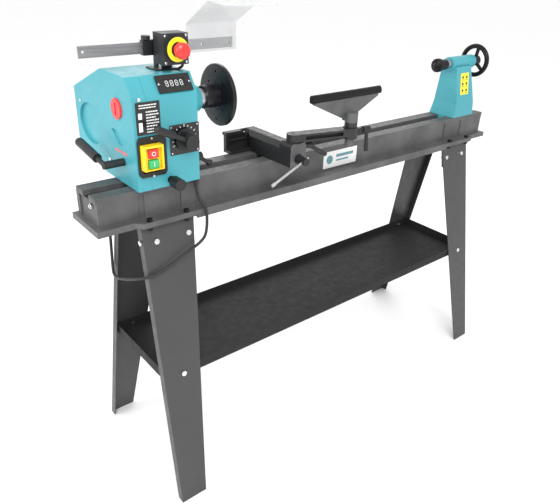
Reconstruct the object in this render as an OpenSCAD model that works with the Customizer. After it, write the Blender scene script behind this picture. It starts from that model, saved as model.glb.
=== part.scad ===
// Floor-standing wood-turning lathe with a swivelling headstock, a swing-arm tool rest and a tailstock.
// Units are millimetres. +X runs along the bed from headstock to tailstock, +Z is up, the operator is at -Y.
// The origin is on the floor, at the middle of the machine's footprint.

/* [Bed] */
// Length of the bed ways
bed_l = 1490; // [1400:10:1550]
// Width of the bed over both ways
bed_w = 106; // [100:2:120]
// Height of the ways above the floor
bed_top = 863; // [820:1:900]
// Height of the bed casting
bed_h = 83; // [75:1:95]
// Thickness of each way
way_t = 13; // [10:1:16]
// Width of the front way
front_way_w = 35; // [30:1:38]
// Width of the rear way
rear_way_w = 38; // [32:1:40]
// Width of the flange round the foot of the bed, on each side
flange_w = 18; // [12:1:20]
// Thickness of the flange
flange_t = 12; // [8:1:14]
// Width of the flange between the legs, on each side
wide_w = 35; // [30:1:38]

/* [Stand] */
// Half of the stand's depth at the floor
foot_y = 225; // [200:5:240]
// Half of the stand's depth under the bed
leg_top_y = 69; // [66:1:75]
// Width of a leg at the top
leg_w_top = 143; // [120:1:150]
// Width of a leg at the floor
leg_w_foot = 75; // [60:1:90]
// Width of a leg's folded side flange
leg_flange = 22; // [18:1:30]
// Thickness of the stand's sheet steel
sheet_t = 3; // [2:0.5:4]
// Height of the shelf's tray floor
shelf_z = 361; // [300:5:450]
// Height of the shelf's lips
shelf_lip = 28; // [20:1:35]

/* [Headstock] */
// Height of the spindle above the ways
centre_h = 177; // [170:1:185]
// Length of the headstock housing
head_l = 161; // [150:1:175]
// Left end of the housing, from the middle of the bed
head_x = -649; // [-670:1:-630]
// Position of the swivel's axis along the bed
swivel_x = -590; // [-600:1:-580]
// Thickness of the housing's sheet steel
shell_t = 2.5; // [2:0.5:3]
// Diameter of the faceplate
faceplate_d = 150; // [120:1:160]
// Diameter of the spindle's thread
spindle_d = 33; // [30:1:36]
// Width of the flat bar that carries the guard
bar_h = 24; // [20:1:28]
// Width of the guard along the bed
guard_w = 138; // [120:5:180]

/* [Tool rest] */
// Left side of the banjo's arm, from the middle of the bed
banjo_x = -250; // [-255:1:-240]
// Width of the banjo's arm
banjo_w = 53; // [48:1:58]
// Height of the banjo's arm
banjo_h = 62; // [56:1:64]
// Length of the swing arm between its pivot and the rest's post
swing_l = 172; // [160:1:190]
// Length of the tool rest's blade
rest_l = 257; // [200:1:300]
// Diameter of the tool rest's post
post_d = 25.4; // [25:0.1:30]

/* [Tailstock] */
// Left end of the tailstock's barrel, from the middle of the bed
tail_x = 565; // [545:1:570]
// Length of the barrel
barrel_l = 129; // [120:1:135]
// Diameter of the barrel
barrel_d = 45; // [44:1:50]
// Diameter of the quill
quill_d = 30; // [28:1:32]
// Diameter of the handwheel
wheel_d = 113; // [100:1:118]

/* [Cord] */
// Diameter of the mains lead
cord_d = 7.5; // [7:0.1:8]

/* [Hidden] */
$fn = 48;

bed_y = -11;
bed_bottom = bed_top - bed_h;
spindle_z = bed_top + centre_h;
half_w = bed_w / 2;
running = 0.05;
turquoise = [0.31, 0.72, 0.76];
grey_paint = [0.30, 0.31, 0.33];
black = [0.07, 0.07, 0.08];
chrome = [0.82, 0.82, 0.84];

// Everything on the bed is drawn about the bed's centre line, which is in front of the origin,
// because the headstock overhangs the bed at the rear.
module on_bed() { translate([0, bed_y, 0]) children(); }

// Cylinders along X and Y, starting at the given point
module rod_x(p, r, l) { translate(p) rotate([0, 90, 0]) cylinder(h = l, r = r); }
module rod_y(p, r, l) { translate(p) rotate([-90, 0, 0]) cylinder(h = l, r = r); }
module rod_z(p, r, l) { translate(p) cylinder(h = l, r = r); }

// Hexagon head along Z, across corners d
module hex_head(d, h) { cylinder(h = h, d = d, $fn = 6); }

// A profile in the YZ plane, extruded along X from x0 over length l
module along_x(points, x0, l) {
    translate([x0, 0, 0]) rotate([90, 0, 90]) linear_extrude(l) polygon(points);
}

// The outline p, walked counter-clockwise, moved inward by t
function edge_normal(p, i) =
    let (d = p[(i + 1) % len(p)] - p[i]) [-d[1], d[0]] / norm(d);
function inset(p, t) = [
    for (i = [0 : len(p) - 1])
        let (a = edge_normal(p, (i + len(p) - 1) % len(p)), b = edge_normal(p, i))
        p[i] + (a + b) * t / (1 + a * b)
];

// ---------------------------------------------------------------- bed

pad_x = [-655, 508];
pad_l = 147;
groove_x = [-636, -538, 521, 613];
over = 2;
wall = 9;
web_t = 8;
wide_x = 650;
lip_x = 505;
lip_drop = 9;

// Wide flange between the legs, with a lip under its edge in mid-span, on the side of the given sign
module wide_flange(side) mirror([0, side > 0 ? 0 : 1, 0]) {
    translate([0, 0, bed_bottom]) linear_extrude(flange_t) polygon([
        [-wide_x - wide_w + flange_w, half_w - 1], [wide_x + wide_w - flange_w, half_w - 1],
        [wide_x + wide_w - flange_w, half_w + flange_w], [wide_x, half_w + wide_w],
        [-wide_x, half_w + wide_w], [-wide_x - wide_w + flange_w, half_w + flange_w]
    ]);
    translate([-lip_x, half_w + wide_w - 7, bed_bottom - lip_drop]) cube([2 * lip_x, 6, lip_drop + 1]);
}

// Skirt under the narrow flange at the end of the given sign, and the bosses at the wall's rear corner
module bed_end(end) mirror([end > 0 ? 0 : 1, 0, 0]) {
    for (y = [-half_w - flange_w, half_w + 1])
        translate([bed_l / 2 - 83, y, bed_bottom - 3]) cube([93, flange_w - 1, 4]);
    translate([bed_l / 2 - 7, -half_w - flange_w, bed_bottom - 3]) cube([17, bed_w + 2 * flange_w, 4]);
    translate([bed_l / 2 - over - 40, half_w - 1, bed_bottom]) cube([40, 8, bed_h - way_t + 1]);
}

module bed() color(grey_paint) on_bed() difference() {
    union() {
        translate([-bed_l / 2, -half_w, bed_top - way_t]) cube([bed_l, front_way_w, way_t]);
        translate([-bed_l / 2, half_w - rear_way_w, bed_top - way_t]) cube([bed_l, rear_way_w, way_t]);
        for (y = [-half_w, half_w - wall])
            translate([-bed_l / 2 + over, y, bed_bottom]) cube([bed_l - 2 * over, wall, bed_h - 1]);
        for (i = [0 : 5])
            translate([-560 + i * 224 - web_t / 2, -half_w + 1, bed_bottom])
                cube([web_t, bed_w - 2, bed_h - way_t - 26]);
        for (side = [-1, 1])
            translate([-bed_l / 2 - 10, side > 0 ? half_w - wall : -half_w - flange_w, bed_bottom])
                cube([bed_l + 20, flange_w + wall, flange_t]);
        for (x = [-bed_l / 2 - 10, bed_l / 2 - 10])
            translate([x, -half_w, bed_bottom]) cube([20, bed_w, flange_t]);
        for (side = [-1, 1])
            translate([side * (bed_l / 2 - over - 8) - 4, -half_w + 1, bed_bottom + 1])
                cube([8, bed_w - 2, bed_h - way_t - 6]);
        wide_flange(-1);
        wide_flange(1);
        bed_end(-1);
        bed_end(1);
    }
    rod_x([-bed_l, -19, bed_top - 27], 4.2, 2 * bed_l);
    for (x = bolt_x, y = bolt_y) rod_z([x, y, bed_bottom - 1], bed_bolt_d / 2 + 0.5, flange_t + 2);
    for (x = groove_x, y = [-half_w - 1, half_w - 3])
        translate([x - 8, y, bed_bottom + flange_t]) cube([16, 4, bed_h - flange_t - way_t]);
}

bolt_x = [pad_x[0] + 24, pad_x[0] + pad_l - 24, pad_x[1] + 24, pad_x[1] + pad_l - 24];
bolt_y = [-79.5, 79.5];
bed_bolt_d = 10;

module bed_bolts() color(black) on_bed() for (x = bolt_x, y = bolt_y) {
    rod_z([x, y, bed_bottom - sheet_t - 8], bed_bolt_d / 2, flange_t + sheet_t + 9);
    translate([x, y, bed_bottom + flange_t]) hex_head(15, 7);
    translate([x, y, bed_bottom - sheet_t - 6]) hex_head(15, 6);
}

// ---------------------------------------------------------------- stand

leg_top = bed_bottom - sheet_t;
splay = atan((foot_y - leg_top_y) / leg_top);
leg_len = leg_top / cos(splay);
leg_out_top = 650;
leg_out_foot = 666;
lean = atan((leg_out_foot - leg_out_top) / leg_len);
tray_y = 143.4;
tray_x = 650;
leg_bolt_z = 735;

// One leg: a tapered plate that leans out, with a flange folded in along its outer edge
module leg(end, side) color(grey_paint) on_bed()
    mirror([end > 0 ? 0 : 1, 0, 0]) mirror([0, side > 0 ? 0 : 1, 0])
    difference() {
        translate([leg_out_foot, foot_y, 0]) rotate([splay, 0, 0]) rotate([0, -lean, 0]) difference() {
            union() {
                translate([-leg_w_top - 20, -sheet_t, -60]) cube([leg_w_top + 20, sheet_t, leg_len + 120]);
                translate([-sheet_t, -leg_flange, -60]) cube([sheet_t, leg_flange, leg_len + 120]);
            }
            translate([-leg_w_foot, -50, 0]) rotate([0, -leg_taper, 0])
                translate([-300, 0, -200]) cube([300, 100, leg_len + 400]);
        }
        translate([leg_out_foot - 300, 0, -100]) cube([400, 400, 100]);
        translate([leg_out_foot - 400, 0, leg_top]) cube([500, 300, 100]);
        for (x = leg_bolt_x) rod_y([x, 20, leg_bolt_z], 4.8, 120);
        rod_y([tray_bolt_x, 80, tray_bolt_z], 4.8, 140);
        rod_x([640, side_bolt_y, leg_bolt_z], 4.2, 20);
    }
leg_taper = atan((leg_w_top - leg_w_foot) / leg_len);
leg_bolt_x = [529, 617];
tray_bolt_x = 602;
side_bolt_x = 651.1;
side_bolt_y = 66;
tray_bolt_z = shelf_z + 14;

module leg_front_left() leg(-1, -1);
module leg_front_right() leg(1, -1);
module leg_rear_left() leg(-1, 1);
module leg_rear_right() leg(1, 1);

// Folded top brackets that join each pair of legs and carry the bed
bracket_drop = 74;
module stand_brackets() color(grey_paint) on_bed() for (end = [-1, 1]) mirror([end > 0 ? 0 : 1, 0, 0]) {
    difference() {
        translate([507, -half_w - wide_w + 2, leg_top]) cube([145, bed_w + 2 * wide_w - 4, sheet_t]);
        for (x = [bolt_x[2], bolt_x[3]], y = bolt_y) rod_z([x, y, leg_top - 1], bed_bolt_d / 2 + 0.5, sheet_t + 2);
    }
    difference() {
        along_x([
            [-leg_in(0), leg_top], [-leg_in(bracket_drop), leg_top - bracket_drop],
            [-leg_in(bracket_drop) + sheet_t, leg_top - bracket_drop], [-leg_in(0) + sheet_t, leg_top - sheet_t],
            [leg_in(0) - sheet_t, leg_top - sheet_t], [leg_in(bracket_drop) - sheet_t, leg_top - bracket_drop],
            [leg_in(bracket_drop), leg_top - bracket_drop], [leg_in(0), leg_top]
        ], 512, 134);
        for (x = leg_bolt_x) rod_y([x, -150, leg_bolt_z], 5.8, 300);
    }
}
// Distance from the centre line to the inner face of the leg plates, at the given drop below their top
function leg_in(drop) = leg_top_y + drop * tan(splay) - sheet_t / cos(splay) - 0.2;

module shelf() color(grey_paint) on_bed() difference() {
    translate([-tray_x, -tray_y, shelf_z]) cube([2 * tray_x, 2 * tray_y, shelf_lip]);
    translate([-tray_x + 2, -tray_y + 2, shelf_z + 2]) cube([2 * tray_x - 4, 2 * tray_y - 4, shelf_lip]);
    for (x = [-tray_bolt_x, tray_bolt_x]) rod_y([x, -tray_y - 5, tray_bolt_z], 6.2, 2 * tray_y + 10);
}

// A bolt through the leg plate at height z, square to the plate, for the side of the given sign
module leg_bolt(x, z, side) {
    y = foot_y - z * tan(splay);
    translate([x, side * y, z]) rotate([side * (-90 + splay), 0, 0]) {
        translate([0, 0, 0.1]) hex_head(15, 5);
        translate([0, 0, -14]) cylinder(h = 15, r = 4);
        translate([0, 0, -16]) hex_head(14, 6);
    }
}
module stand_bolts() color(chrome) on_bed() {
    for (end = [-1, 1], side = [-1, 1]) {
        for (x = leg_bolt_x) leg_bolt(end * x, leg_bolt_z, side);
        leg_bolt(end * tray_bolt_x, tray_bolt_z, side);
        translate([end * side_bolt_x, side * side_bolt_y, leg_bolt_z]) rotate([0, end * 90, 0]) {
            hex_head(14, 4);
            translate([0, 0, -10]) cylinder(h = 11, r = 3.5);
        }
    }
    for (side = [-1, 1])
        rod_x([side > 0 ? bed_l / 2 - over - 6 : -bed_l / 2 + over - 4, -19, bed_top - 27], 4, 10);
    for (side = [-1, 1])
        translate([side * (bed_l / 2 - over - 3.9), -19, bed_top - 27]) rotate([0, side * 90, 0]) hex_head(14, 5);
}

// ---------------------------------------------------------------- headstock

head_r = head_x + head_l;
base_t = 12;
head_bottom = bed_top + 0.3;
outline = [
    [-74, head_bottom + 2], [93, head_bottom + 2], [212, bed_top + 30], [247, bed_top + 34],
    [242, bed_top + 183], [76, bed_top + 251], [-44, bed_top + 251], [-72, bed_top + 212]
];
cover_l = 34;
rear_x = head_x + cover_l;
rear_box_l = 100;
motor_y = 160;
motor_z = bed_top + 112;
motor_r = 62;
pulley_x = head_x + 40;

// Swivel base, the wall that carries the rear bearing, the front bearing wall and the motor's plate
module headstock_casting() color(grey_paint) on_bed() difference() {
    union() {
        translate([head_x + 8, -66, head_bottom]) cube([head_l - 14, 148, base_t]);
        rod_z([swivel_x, 0, bed_top - way_t - 14], 14, 30);
        rod_z([swivel_x, 0, bed_top - way_t - 8.4], 26, 8);
        translate([head_r - 22, -52, head_bottom]) cube([16, 104, centre_h + 46]);
        translate([head_x + 66, -52, head_bottom]) cube([14, 104, centre_h + 46]);
        translate([head_x + 66, -48, head_bottom + 2]) cube([head_l - 80, 12, 70]);
        translate([head_x + 66, 40, bed_top + 70]) cube([10, 180, 100]);
    }
    rod_x([head_x + 60, 0, spindle_z], bearing_r, head_l);
    rod_x([head_x + 60, motor_y, motor_z], 14, 30);
    rod_y([pin_x, -80, pin_z], pin_r + running, 50);
    rod_z([cord_exit[0], cord_exit[1], head_bottom - 5], gland_r + running, 30);
}
bearing_r = 31;
pin_x = -566;
pin_z = bed_top + 17;
pin_r = 5;

// Folded shell: the deep front part round the spindle and the rear part over the motor
module headstock_housing() color(turquoise) on_bed() {
    folded_shell();
    bearing_boss();
}
module folded_shell() difference() {
    union() {
        along_x(outline, rear_x, rear_box_l);
        intersection() {
            along_x(outline, rear_x, head_l - cover_l);
            translate([rear_x, -90, bed_top]) cube([head_l - cover_l, 90 + 96, 300]);
        }
    }
    along_x(inset(outline, shell_t), rear_x - 1, rear_box_l - shell_t + 1);
    intersection() {
        along_x(inset(outline, shell_t), rear_x - 1, head_l - cover_l - shell_t + 1);
        translate([rear_x - 1, -90, bed_top - 5]) cube([head_l - cover_l - shell_t + 1, 90 + 96 - shell_t, 310]);
    }
    translate([rear_x - 1, shell_t - 74, bed_top - 1]) cube([head_l - cover_l - shell_t + 1, 155, 12]);
    rod_x([head_r - 10, 0, spindle_z], bearing_r + 1, 20);
    rod_y([pin_x, -80, pin_z], 9, 20);
    rod_z([cord_exit[0], cord_exit[1], head_bottom - 5], gland_r + running, 30);
    rod_y([speed_x, -80, speed_z], 8 + running, 20);
    rod_x([head_r - 10, lock_y, lock_z], 7 + running, 20);
    switch_opening();
}
// Hole in the shell behind the switch
module switch_opening() translate([switch_x + 8, -80, switch_z + 12]) cube([46, 12, 70]);
speed_x = -526;
speed_z = spindle_z - 69;
switch_x = -646;
switch_z = bed_top + 32;
lock_y = -44;
lock_z = bed_top + 48;

// Left end cover with a scooped recess and two access holes
module end_cover() color(turquoise) on_bed() difference() {
    union() {
        difference() {
            along_x(outline, head_x, cover_l - 0.5);
            along_x(inset(outline, shell_t), head_x + shell_t, cover_l);
        }
        along_x(oval(scoop_w / 2 + 3, scoop_h / 2 + 3), head_x + 1, scoop_t + 1.5);
        along_x(inset(slot_outline, -3), head_x + 1, slot_t + 1.5);
    }
    along_x(oval(scoop_w / 2, scoop_h / 2), head_x - 1, scoop_t);
    along_x(slot_outline, head_x - 1, slot_t);
    switch_opening();
    rod_y([head_x + 16, -80, front_screw_z], 2.5, 20);
    for (q = end_screws) rod_x([head_x - 1, q[0], q[1]], 2.5, 10);
    translate([head_x - 1, 0, spindle_z]) rotate([0, 90, 0]) cylinder(h = 8, r = cap_r - 5);
    rod_x([head_x - 1, lever_y, lever_z], 9 + running, 8);
    translate([head_x + 3, shell_t - 74, bed_top - 1]) cube([cover_l, 155, 12]);
}
cap_r = 23;
scoop_w = 128;
scoop_h = 100;
scoop_t = 8;
slot_outline = [[12, bed_top + 93], [42, bed_top + 124], [13, bed_top + 126], [-11, bed_top + 93]];
slot_t = 5;
front_screw_z = bed_top + 209;
end_screws = [[63, bed_top + 44], [207, bed_top + 154]];
// Oval about the motor's axis with half-widths a and b
function oval(a, b) = [for (k = [0 : 47]) [motor_y + a * cos(k * 7.5), motor_z - 5 + b * sin(k * 7.5)]];
lever_y = -9;
lever_z = bed_top + 57;

module cover_screws() color(chrome) on_bed() {
    rod_y([head_x + 16, -75.4, front_screw_z], 4, 3.2);
    rod_y([head_x + 16, -73, front_screw_z], 2.2, 8);
    for (q = end_screws) {
        rod_x([head_x - 2.6, q[0], q[1]], 4.5, 2.5);
        rod_x([head_x - 1, q[0], q[1]], 2.2, 8);
    }
}

module spindle_bearings() color([0.7, 0.7, 0.72]) on_bed() for (x = [head_x + 66, head_r - 22])
    difference() {
        rod_x([x, 0, spindle_z], bearing_r, x < head_r - 30 ? 14 : 16);
        rod_x([x - 1, 0, spindle_z], 17 + running, 20);
    }

// Cone round the spindle's nose, on the right side of the housing
module bearing_boss() difference() {
    rotate_x_profile(head_r - 1, [[0, 0], [41, 0], [41, 14], [31, 42], [0, 42]]);
    rod_x([head_r - 10, 0, spindle_z], 24, 80);
}
// Turned shape about the spindle's axis: points are [radius, distance along X from x0]
module rotate_x_profile(x0, points) {
    translate([x0, 0, spindle_z]) rotate([0, 90, 0]) rotate_extrude() polygon(points);
}

nose_x = -432;
module spindle() color(chrome) on_bed() difference() {
    rotate_x_profile(0, [
        [0, head_x + 6], [15, head_x + 6], [15, head_x + 60], [17, head_x + 60], [17, head_r - 2],
        [21, head_r - 2], [21, nose_x + 2], [spindle_d / 2, nose_x + 2], [spindle_d / 2, nose_x + 46], [0, nose_x + 46]
    ]);
    rod_x([head_x, 0, spindle_z], 5, 300);
    rod_x([nose_x - 20, 0, spindle_z], 8.9, 90);
}

plate_x = -392;
module faceplate() color(black) on_bed() difference() {
    rotate_x_profile(0, [
        [0, nose_x + 2.2], [27, nose_x + 2.2], [28, nose_x + 4], [28, plate_x],
        [faceplate_d / 2 - 2, plate_x + 4], [faceplate_d / 2, plate_x + 6], [faceplate_d / 2, plate_x + 13],
        [faceplate_d / 2 - 1.5, plate_x + 14.5], [0, plate_x + 14.5]
    ]);
    rod_x([nose_x, 0, spindle_z], spindle_d / 2 + running, 80);
    for (i = [0 : 7]) translate([0, 0, spindle_z]) rotate([i * 45, 0, 0])
        rod_x([plate_x - 2, 0, i % 2 == 0 ? 58 : 42], 3.2, 30);
}

// Step-free drive: one wide pulley on the spindle and a pair of sheaves on the motor
module spindle_pulley() color([0.6, 0.6, 0.62]) on_bed() difference() {
    rotate_x_profile(pulley_x, [
        [0, -12], [20, -12], [20, -8], [56, -8], [56, -6], [40, -0.5], [40, 8.5], [56, 14], [56, 16], [0, 16]
    ]);
    rod_x([pulley_x - 20, 0, spindle_z], 15 + running, 50);
}

module drive_belt() color(black) on_bed() translate([pulley_x, 0, 0]) rotate([90, 0, 90]) difference() {
    linear_extrude(8) belt_loop(46.5);
    translate([0, 0, -1]) linear_extrude(10) belt_loop(40.8);
}
// Outline of a belt round the spindle's and the motor's pulleys, with radius r at the spindle
module belt_loop(r) {
    small = r - 8;
    run = [motor_y, motor_z - spindle_z];
    slope = atan2(run[1], run[0]);
    reach = acos((r - small) / norm(run));
    steps = 40;
    polygon(concat(
        [for (k = [0 : steps]) let (a = slope + reach + k * (360 - 2 * reach) / steps)
            [r * cos(a), spindle_z + r * sin(a)]],
        [for (k = [0 : steps]) let (a = slope - reach + k * 2 * reach / steps)
            [motor_y + small * cos(a), motor_z + small * sin(a)]]
    ));
}

module motor() color(grey_paint) on_bed() difference() {
    union() {
        rod_x([head_x + 76.2, motor_y, motor_z], motor_r, 50);
        rod_x([head_x + 76.2, motor_y, motor_z], motor_r - 8, 53);
        translate([head_x + 84, motor_y - 28, motor_z + 40]) cube([34, 56, 40]);
    }
    rod_x([head_x + 70, motor_y, motor_z], 8.5, 50);
}
// The sheaves' faces stand just clear of the belt's flanks
module sheave(x0, away) translate([x0, motor_y, motor_z]) rotate([0, away * 90, 0]) rotate_extrude()
    polygon([[0, 0], [28, 0], [50, 6], [50, 8], [18, 8], [18, 14], [0, 14]]);
// The fixed sheave with the motor's shaft, on which the other sheave slides
module fixed_sheave() color([0.6, 0.6, 0.62]) on_bed() {
    sheave(pulley_x + 8.4, 1);
    rod_x([head_x + 14, motor_y, motor_z], 8, 98);
}
module moving_sheave() color([0.66, 0.66, 0.68]) on_bed() difference() {
    sheave(pulley_x - 0.4, -1);
    rod_x([pulley_x - 30, motor_y, motor_z], 8 + running, 60);
}

// Front lever with a crank on its inner end that shifts the moving sheave
lever_l = 92;
module speed_lever() color(black) on_bed() translate([speed_x, 0, speed_z]) {
    rod_y([0, -108, 0], 8, 50);
    rod_y([0, -64, 0], 14, 6);
    rod_y([0, -84, 0], 26, 6);
    rod_y([0, -112, 0], 17, 16);
    rotate([0, 26, 0]) {
        translate([-lever_l + 16, -107, -4.5]) cube([lever_l - 16, 6, 9]);
        rod_x([-lever_l, -104, 0], 8.5, 44);
        translate([-lever_l, -104, 0]) sphere(8.5);
    }
}

// Speed read-out on the slanted panel
panel_tilt = atan2(28, 39);
module speed_display() color(black) on_bed() translate([0, -74, bed_top + 214]) rotate([-panel_tilt, 0, 0])
    translate([-582, -3.4, 2]) difference() {
        cube([84, 3.4, 40]);
        translate([14, -1, 10]) cube([56, 2.4, 20]);
    }

module switch_plate() color(black) on_bed() {
    translate([switch_x, -76.6, switch_z]) rotate([90, 0, 0]) translate([0, 0, -2.5]) difference() {
        linear_extrude(5) polygon([
            [6, 4], [64, 4], [70, 12], [70, 86], [64, 96], [6, 96], [0, 86], [0, 12]
        ]);
        translate([10, 14, -1]) cube([42, 66, 7]);
    }
    translate([switch_x + 11, -72, switch_z + 15]) cube([40, 40, 64]);
}

button_x = switch_x + 19;
button_w = 24;
button_h = 19;
stop_z = switch_z + 51;
start_z = switch_z + 27;
module switch_frame() color([0.95, 0.82, 0.08]) on_bed() difference() {
    translate([switch_x + 5, -97, switch_z + 24]) cube([48, 17.8, 56]);
    translate([switch_x + 9, -98, switch_z + 26]) cube([40, 12, 49.5]);
    for (z = [stop_z, start_z])
        translate([button_x - 0.4, -99, z - 0.4]) cube([button_w + 0.8, 22, button_h + 0.8]);
}
module switch_button(z) translate([button_x, -92, z]) cube([button_w, 14, button_h]);
module start_button() color([0.1, 0.6, 0.25]) on_bed() switch_button(start_z);
module stop_button() color([0.85, 0.1, 0.1]) on_bed() switch_button(stop_z);

// Slotted quarter-turn cap over the hole through which the spindle's taper is knocked out
module knockout_cap() color([0.85, 0.15, 0.15]) on_bed() difference() {
    union() {
        rod_x([head_x - 5, 0, spindle_z], cap_r, 4.9);
        rod_x([head_x - 1, 0, spindle_z], cap_r - 5 - running, 5);
    }
    translate([head_x - 6, -3, spindle_z - 14]) cube([3.5, 6, 28]);
}

// Lever on the left end that slackens the belt
module belt_lever() color(black) on_bed() translate([0, lever_y, lever_z]) {
    rod_x([head_x - 51, 0, 0], 9, 71);
    rotate([8, 0, 0]) {
        rod_y([head_x - 46, 0, 0], 6, 60);
        rod_y([head_x - 46, 40, 0], 11, 96);
        translate([head_x - 46, 136, 0]) sphere(11);
    }
}

// Lever that clamps the swivel, on the right side of the housing
module head_lock_lever() color(black) on_bed() translate([0, lock_y, lock_z]) {
    rod_x([head_r - 5.5, 0, 0], 7, 30);
    rod_x([head_r + 6, 0, 0], 11, 18);
    translate([head_r + 16, 0, 0]) rotate([0, 125, 0]) {
        cylinder(h = 36, r = 5);
        translate([0, 0, 38]) sphere(9);
    }
}

// Sprung pin that locates the headstock at its working angles
module locating_pin() color(black) on_bed() {
    rod_y([pin_x, -119, pin_z], 14, 30);
    rod_y([pin_x, -92, pin_z], 7, 16);
    rod_y([pin_x, -80, pin_z], pin_r, 38);
}

box_x = -552;
box_w = 62;
box_z = bed_top + 267;
box_h = 66;
box_front = -45;
bar_y = 12;
bar_z = spindle_z + 121;
hinge_y = bar_y + 14;
module estop_bracket() color([0.2, 0.2, 0.21]) on_bed() {
    translate([box_x - 4, -14, bed_top + 251.1]) cube([50, 48, 3]);
    translate([box_x + 20, 2, bed_top + 251.1]) cube([26, 3, 60]);
    translate([clamp_x + 36.4, hinge_y - 8, bed_top + 251.1]) cube([4, 16, bar_z - bed_top - 246.1]);
    rod_x([clamp_x + 16, hinge_y, bar_z], 4, 22);
}
module estop_box() color(black) on_bed() difference() {
    union() {
        translate([box_x, box_front + 4, box_z]) cube([box_w, 40, box_h]);
        translate([box_x, box_front, box_z]) cube([box_w, 3.7, box_h]);
        translate([box_x + 5, box_front + 3, box_z + 3]) cube([box_w - 10, 3, box_h - 6]);
        rod_y([box_x + box_w / 2, box_front - 8, box_z + box_h / 2], 27, 9);
    }
    rod_y([box_x + box_w / 2, box_front - 20, box_z + box_h / 2], 11 + running, 60);
}
module estop_button() color([0.85, 0.12, 0.12]) on_bed() translate([box_x + box_w / 2, 0, box_z + box_h / 2]) {
    rod_y([0, box_front - 19, 0], 11, 49);
    translate([0, box_front - 19, 0]) rotate([90, 0, 0]) rotate_extrude()
        polygon([[0, 0], [15, 0], [17.5, 3], [17.5, 12], [16, 15], [11, 18], [0, 19.5]]);
}

clamp_x = -572;
module guard_clamp() color(black) on_bed() difference() {
    union() {
        rod_x([clamp_x, hinge_y, bar_z], 11, 36);
        translate([clamp_x, bar_y - 5, bar_z - 16]) cube([36, 16, 32]);
    }
    translate([clamp_x - 1, bar_y - 2.2, bar_z - bar_h / 2 - 0.2]) cube([38, 4.4, bar_h + 0.4]);
    rod_x([clamp_x + 15, hinge_y, bar_z], 4 + running, 30);
    rod_z([clamp_x + 9, bar_y, bar_z + 1], 3 + running, 30);
}
module guard_knob() color(black) on_bed() {
    rod_z([clamp_x + 9, bar_y, bar_z + bar_h / 2 + 0.4], 3, 12);
    rod_z([clamp_x + 9, bar_y, bar_z + 17.4], 10, 8);
}
bar_x = -718;
bar_l = 386;
module guard_bar() color([0.55, 0.55, 0.57]) on_bed() difference() {
    translate([bar_x, bar_y - 2, bar_z - bar_h / 2]) cube([bar_l, 4, bar_h]);
    for (x = [10, bar_l - 88, bar_l - 14]) rod_y([bar_x + x, bar_y - 5, bar_z], 3.2, 10);
}
shield_x = -462;
// Bent clear sheet: an upright part on the bar, a slanted part and a short lip
module guard_shield() color([0.9, 0.95, 1, 0.35]) on_bed() difference() {
    along_x([
        [bar_y - 5, bar_z - 17], [bar_y - 2.1, bar_z - 17], [bar_y - 2.1, bar_z + 46], [-83, spindle_z + 223.4],
        [-153, spindle_z + 218.3], [-153, spindle_z + 215.3], [-84.2, spindle_z + 220.3], [bar_y - 5, bar_z + 44.6]
    ], shield_x, guard_w);
    for (x = [bar_l - 88, bar_l - 14]) rod_y([bar_x + x, bar_y - 9, bar_z], 3.2, 10);
}

// ---------------------------------------------------------------- tool rest

arm_front = -131;
arm_rear = 40;
arm_z = bed_top + 0.3;
rod_z0 = arm_z + 20;
banjo_c = banjo_x + banjo_w / 2;
carriage_x = banjo_x - 67;
carriage_w = 108;
swing_y = -111;
swing_t = 20;
lock_screw_z = arm_z + banjo_h - 14.5;

// Bolt, cap plate and shoe that draw the banjo down on the ways
module banjo_clamp() color([0.35, 0.35, 0.37]) on_bed() difference() {
    union() {
        translate([banjo_c - 45, -30, bed_top - way_t - 15.3]) cube([90, 60, 15]);
        rod_z([banjo_c, 0, bed_top - way_t - 25], 8, 60);
        translate([banjo_c - 14, -12, rod_z0 - 14]) cube([28, 24, 28]);
        translate([banjo_c, 0, bed_top - way_t - 25.3]) hex_head(24, 10);
    }
    rod_y([banjo_c, -20, rod_z0], 10 + running, 40);
}

// Channel-shaped arm across the bed, with a carriage frame behind it
module banjo() color([0.16, 0.16, 0.17]) on_bed() difference() {
    union() {
        translate([banjo_x, arm_front, arm_z]) cube([banjo_w, arm_rear - arm_front, banjo_h]);
        rod_z([banjo_c, arm_rear, arm_z], banjo_w / 2, banjo_h);
        translate([carriage_x, 62, arm_z]) cube([carriage_w, 12, 54]);
        translate([carriage_x, 40, arm_z]) cube([carriage_w, 34, 8]);
        translate([carriage_x, 62, arm_z + 47]) cube([carriage_w, 18, 8]);
        rod_z([banjo_c, swing_y, arm_z + banjo_h - 1], 24, 1.5);
    }
    translate([banjo_x + 9, arm_front + 12, arm_z - 1]) cube([banjo_w - 18, arm_rear - arm_front - 20, banjo_h - 16]);
    difference() {
        translate([carriage_x + 10, 61, arm_z + 16]) cube([carriage_w - 50, 9, 30]);
        rod_x([carriage_x + 9, 66.5, arm_z + 31], 3, carriage_w - 48);
    }
    translate([banjo_x - 1, swing_y + 26, arm_z + banjo_h - 7]) cube([banjo_w + 2, 220, 20]);
    for (x = [banjo_x, banjo_x + banjo_w]) {
        translate([x, arm_front - 1, arm_z + banjo_h]) rotate([0, 45, 0]) translate([-6, 0, -6]) cube([12, 60, 12]);
        translate([x, swing_y + 26, arm_z + banjo_h - 7]) rotate([0, 45, 0])
            translate([-9, 0, -9]) cube([18, 160, 18]);
    }
    rod_y([banjo_c, arm_front - 1, rod_z0], 10 + running, 240);
    rod_z([banjo_c, swing_y, arm_z + 30], 6 + running, 60);
    rod_x([banjo_x + banjo_w - 20, swing_y - 8, lock_screw_z], 4 + running, 40);
}

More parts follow.
